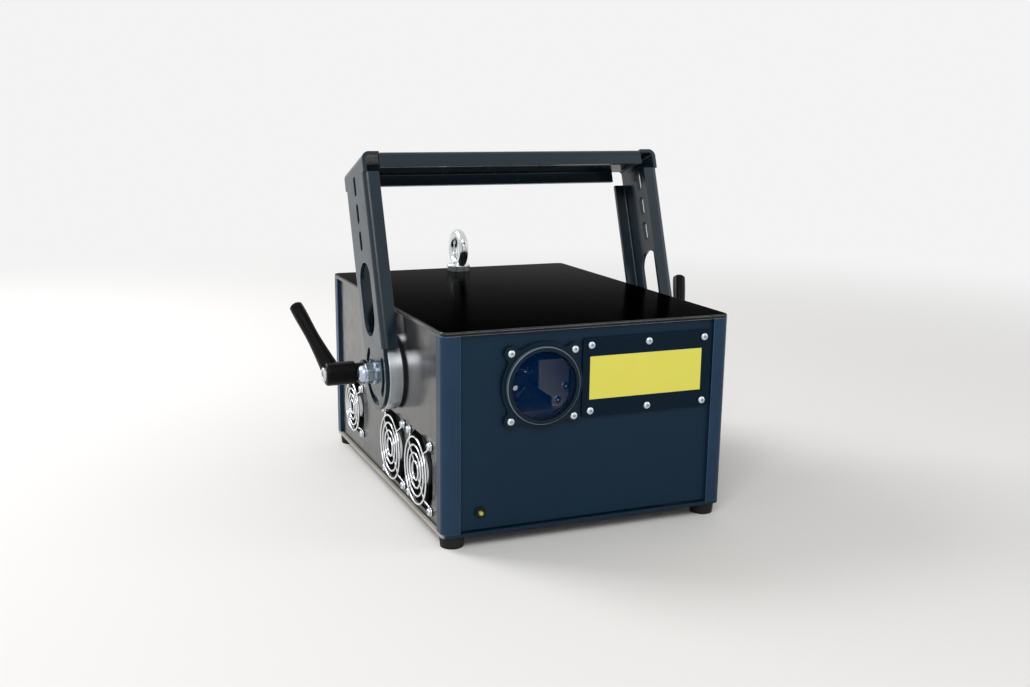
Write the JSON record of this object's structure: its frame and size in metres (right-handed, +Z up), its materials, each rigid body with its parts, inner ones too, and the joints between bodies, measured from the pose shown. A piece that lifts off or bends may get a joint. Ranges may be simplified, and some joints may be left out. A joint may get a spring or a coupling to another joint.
{
  "type": "laser show projector",
  "caption": "Boxy black laser show projector with a round window, a blank label plate, side fans with wire guards and a tilting yoke clamped by levers; the yoke, levers, fans and mirrors move.",
  "frame": {"origin": "middle of the whole outline on the standing surface under the feet", "axes": "+Z up, -Y out of the window, +X to the right when the projector is seen from behind its window side"},
  "size_m": [0.36, 0.3122, 0.2752],
  "materials": {
    "case_black": "fine-textured satin powder coat",
    "post_black": "black anodised, brushed lengthwise",
    "yoke_black": "satin powder coat",
    "black_rubber": "matte",
    "zinc_steel": "bright zinc plated",
    "screw_steel": "bright",
    "bright_aluminium": "turned or milled",
    "spring_steel": "drawn wire",
    "lever_black": "satin powder coat",
    "guard_wire": "polished",
    "fan_black": "satin",
    "window_blue": "coated, clear",
    "label_yellow": "satin film",
    "lamp_black": "gloss",
    "lamp_amber": "translucent",
    "galvo_black": "black anodised",
    "laser_black": "black anodised",
    "mirror_face": "coated mirror",
    "supply_grey": "perforated sheet look",
    "board_green": "solder resist",
    "inlet_black": "moulded",
    "rocker_black": "gloss",
    "key_chrome": "polished",
    "socket_steel": "tinned shell",
    "socket_black": "moulded"
  },
  "bodies": {
    "case": {"base_plate": "case_black", "top_cover": "case_black", "front_panel": "case_black", "rear_panel": "case_black", "left_panel": "case_black", "right_panel": "case_black", "cover_plate": "case_black", "window_bezel": "case_black", "corner_posts": "post_black", "rubber_feet": "black_rubber", "window_gasket": "black_rubber", "friction_rings": "black_rubber", "eye_bolt": "zinc_steel", "eye_bolt_nut": "zinc_steel", "pivot_nuts": "zinc_steel", "pivot_washers": "zinc_steel", "pivot_studs": "zinc_steel", "lever_washers": "zinc_steel", "tie_rods": "zinc_steel", "bezel_screws": "screw_steel", "cover_screws": "screw_steel", "fan_screws": "screw_steel", "rear_screws": "screw_steel", "scanner_screws": "screw_steel", "pivot_discs": "bright_aluminium", "pivot_blocks": "bright_aluminium", "optics_plate": "bright_aluminium", "optics_pillars": "bright_aluminium", "scanner_block": "bright_aluminium", "mirror_mounts": "bright_aluminium", "fan_guards": "guard_wire", "fan_frames": "fan_black", "window_glass": "window_blue", "blank_label": "label_yellow", "led_holder": "lamp_black", "status_led": "lamp_amber", "galvo_motors": "galvo_black", "laser_modules": "laser_black", "power_supply": "supply_grey", "driver_boards": "board_green", "mains_inlet": "inlet_black", "key_switch": "key_chrome", "signal_sockets": "socket_steel", "interlock_socket": "socket_black"},
    "yoke": {"yoke": "yoke_black"},
    "clamp_left": {"clamp_stud_left": "zinc_steel", "lever_screw_left": "zinc_steel", "lever_spring_left": "spring_steel"},
    "clamp_right": {"clamp_stud_right": "zinc_steel", "lever_screw_right": "zinc_steel", "lever_spring_right": "spring_steel"},
    "lever_left": {"lever_left": "lever_black"},
    "lever_right": {"lever_right": "lever_black"},
    "fan_front": {"fan_rotor_front": "fan_black"},
    "fan_middle": {"fan_rotor_middle": "fan_black"},
    "fan_rear": {"fan_rotor_rear": "fan_black"},
    "scan_mirror_x": {"galvo_x_mirror": "mirror_face"},
    "scan_mirror_y": {"galvo_y_mirror": "mirror_face"},
    "rocker": {"power_rocker": "rocker_black"},
    "key": {"key_barrel": "key_chrome"}
  },
  "joints": [
    {"name": "yoke_tilt", "type": "hinge", "parent": "case", "child": "yoke", "pos_m": [0, -0.0321, 0.1064], "axis": [1, 0, 0], "range_deg": [-30, 98]},
    {"name": "clamp_left_turn", "type": "hinge", "parent": "case", "child": "clamp_left", "pos_m": [0, -0.01037, 0.10296], "axis": [1, 0, 0], "continuous": true},
    {"name": "clamp_right_turn", "type": "hinge", "parent": "case", "child": "clamp_right", "pos_m": [0, -0.01037, 0.10296], "axis": [1, 0, 0], "continuous": true},
    {"name": "lever_left_pull", "type": "slide", "parent": "clamp_left", "child": "lever_left", "axis": [-1, 0, 0], "range_m": [0, 0.004], "stiffness_N_per_m": 1500, "springref_m": -0.002, "deforming": ["lever_spring_left"]},
    {"name": "lever_right_pull", "type": "slide", "parent": "clamp_right", "child": "lever_right", "axis": [1, 0, 0], "range_m": [0, 0.004], "stiffness_N_per_m": 1500, "springref_m": -0.002, "deforming": ["lever_spring_right"]},
    {"name": "fan_front_spin", "type": "hinge", "parent": "case", "child": "fan_front", "pos_m": [-0.101, -0.0947, 0.0442], "axis": [1, 0, 0], "continuous": true},
    {"name": "fan_middle_spin", "type": "hinge", "parent": "case", "child": "fan_middle", "pos_m": [-0.101, -0.0291, 0.0442], "axis": [1, 0, 0], "continuous": true},
    {"name": "fan_rear_spin", "type": "hinge", "parent": "case", "child": "fan_rear", "pos_m": [-0.101, 0.0864, 0.049], "axis": [1, 0, 0], "continuous": true},
    {"name": "scan_x_swing", "type": "hinge", "parent": "case", "child": "scan_mirror_x", "pos_m": [-0.0392, -0.1071, 0.1025], "axis": [0, 1, 0], "range_deg": [-15, 15]},
    {"name": "scan_y_nod", "type": "hinge", "parent": "case", "child": "scan_mirror_y", "pos_m": [-0.0392, -0.1071, 0.1165], "axis": [1, 0, 0], "range_deg": [-15, 15]},
    {"name": "rocker_tip", "type": "hinge", "parent": "case", "child": "rocker", "pos_m": [0.0633, 0.1499, 0.0698], "axis": [1, 0, 0], "range_deg": [-16, 0]},
    {"name": "key_turn", "type": "hinge", "parent": "case", "child": "key", "pos_m": [0.0633, 0.1494, 0.123], "axis": [0, -1, 0], "range_deg": [0, 90]}
  ]
}
